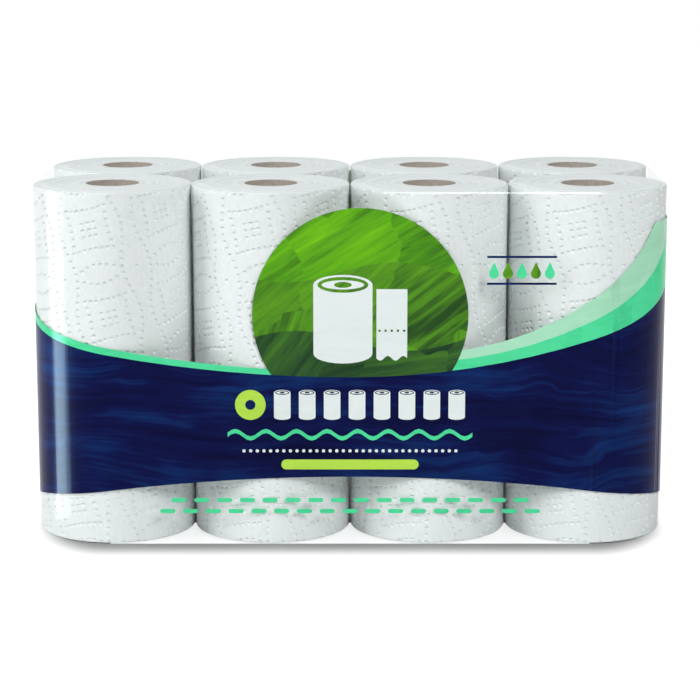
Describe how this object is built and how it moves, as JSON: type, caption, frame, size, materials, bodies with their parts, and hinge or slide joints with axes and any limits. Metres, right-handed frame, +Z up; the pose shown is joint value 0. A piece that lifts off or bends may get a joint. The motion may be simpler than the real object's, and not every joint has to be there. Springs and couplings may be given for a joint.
{
  "type": "paper towel roll pack",
  "caption": "Upright embossed paper towel rolls in two rows, sealed in a clear film wrap with a dark printed band, green sweeps and plain pictograms.",
  "frame": {"origin": "middle of the pack's underside, on the surface it stands on", "axes": "+X along the long side, which holds four rolls; the printed front faces -Y; +Z up, along the rolls"},
  "size_m": [0.5062, 0.2538, 0.2805],
  "materials": {
    "embossed_paper": "white two-ply tissue with a dotted embossing",
    "core_board": "grey-brown spiral-wound board",
    "clear_film": "clear glossy polyethylene film",
    "navy_ink": "glossy print on the film",
    "mint_ink": "glossy print on the film",
    "pale_mint_ink": "glossy print on the film",
    "green_ink": "glossy print on the film",
    "bright_green_ink": "glossy print on the film",
    "dark_green_ink": "glossy print on the film",
    "lime_ink": "glossy print on the film",
    "white_ink": "glossy print on the film"
  },
  "bodies": {
    "root": {"towel_roll_front_1": "embossed_paper", "towel_roll_front_2": "embossed_paper", "towel_roll_front_3": "embossed_paper", "towel_roll_front_4": "embossed_paper", "towel_roll_back_1": "embossed_paper", "towel_roll_back_2": "embossed_paper", "towel_roll_back_3": "embossed_paper", "towel_roll_back_4": "embossed_paper", "core_front_1": "core_board", "core_front_2": "core_board", "core_front_3": "core_board", "core_front_4": "core_board", "core_back_1": "core_board", "core_back_2": "core_board", "core_back_3": "core_board", "core_back_4": "core_board", "film_wrap": "clear_film", "navy_print": "navy_ink", "mint_print": "mint_ink", "pale_mint_print": "pale_mint_ink", "green_print": "green_ink", "bright_green_print": "bright_green_ink", "dark_green_print": "dark_green_ink", "lime_print": "lime_ink", "white_print": "white_ink"}
  },
  "joints": []
}
